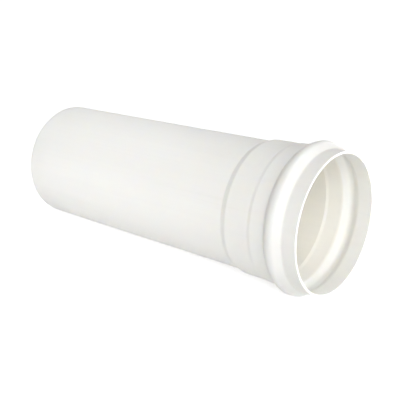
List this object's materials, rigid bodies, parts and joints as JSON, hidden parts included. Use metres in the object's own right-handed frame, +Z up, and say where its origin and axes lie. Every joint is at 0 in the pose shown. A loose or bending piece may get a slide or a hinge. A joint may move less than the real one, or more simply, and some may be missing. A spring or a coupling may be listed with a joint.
{
  "type": "pvc sewer pipe",
  "caption": "Short length of white PVC sewer pipe with a plain cut end and a formed socket whose raised ring groove takes a rubber seal.",
  "frame": {"origin": "on the floor under the middle of the pipe's axis", "axes": "+X towards the socket's mouth, along the floor; +Z up. The pipe rests on its ring groove's crest and on the lower edge of its cut end, so its axis rises 1.5 degrees to the mouth"},
  "size_m": [0.2926, 0.1158, 0.1157],
  "materials": {
    "pvc": "smooth extruded PVC with a soft sheen"
  },
  "bodies": {
    "root": {"pipe": "pvc"}
  },
  "joints": []
}
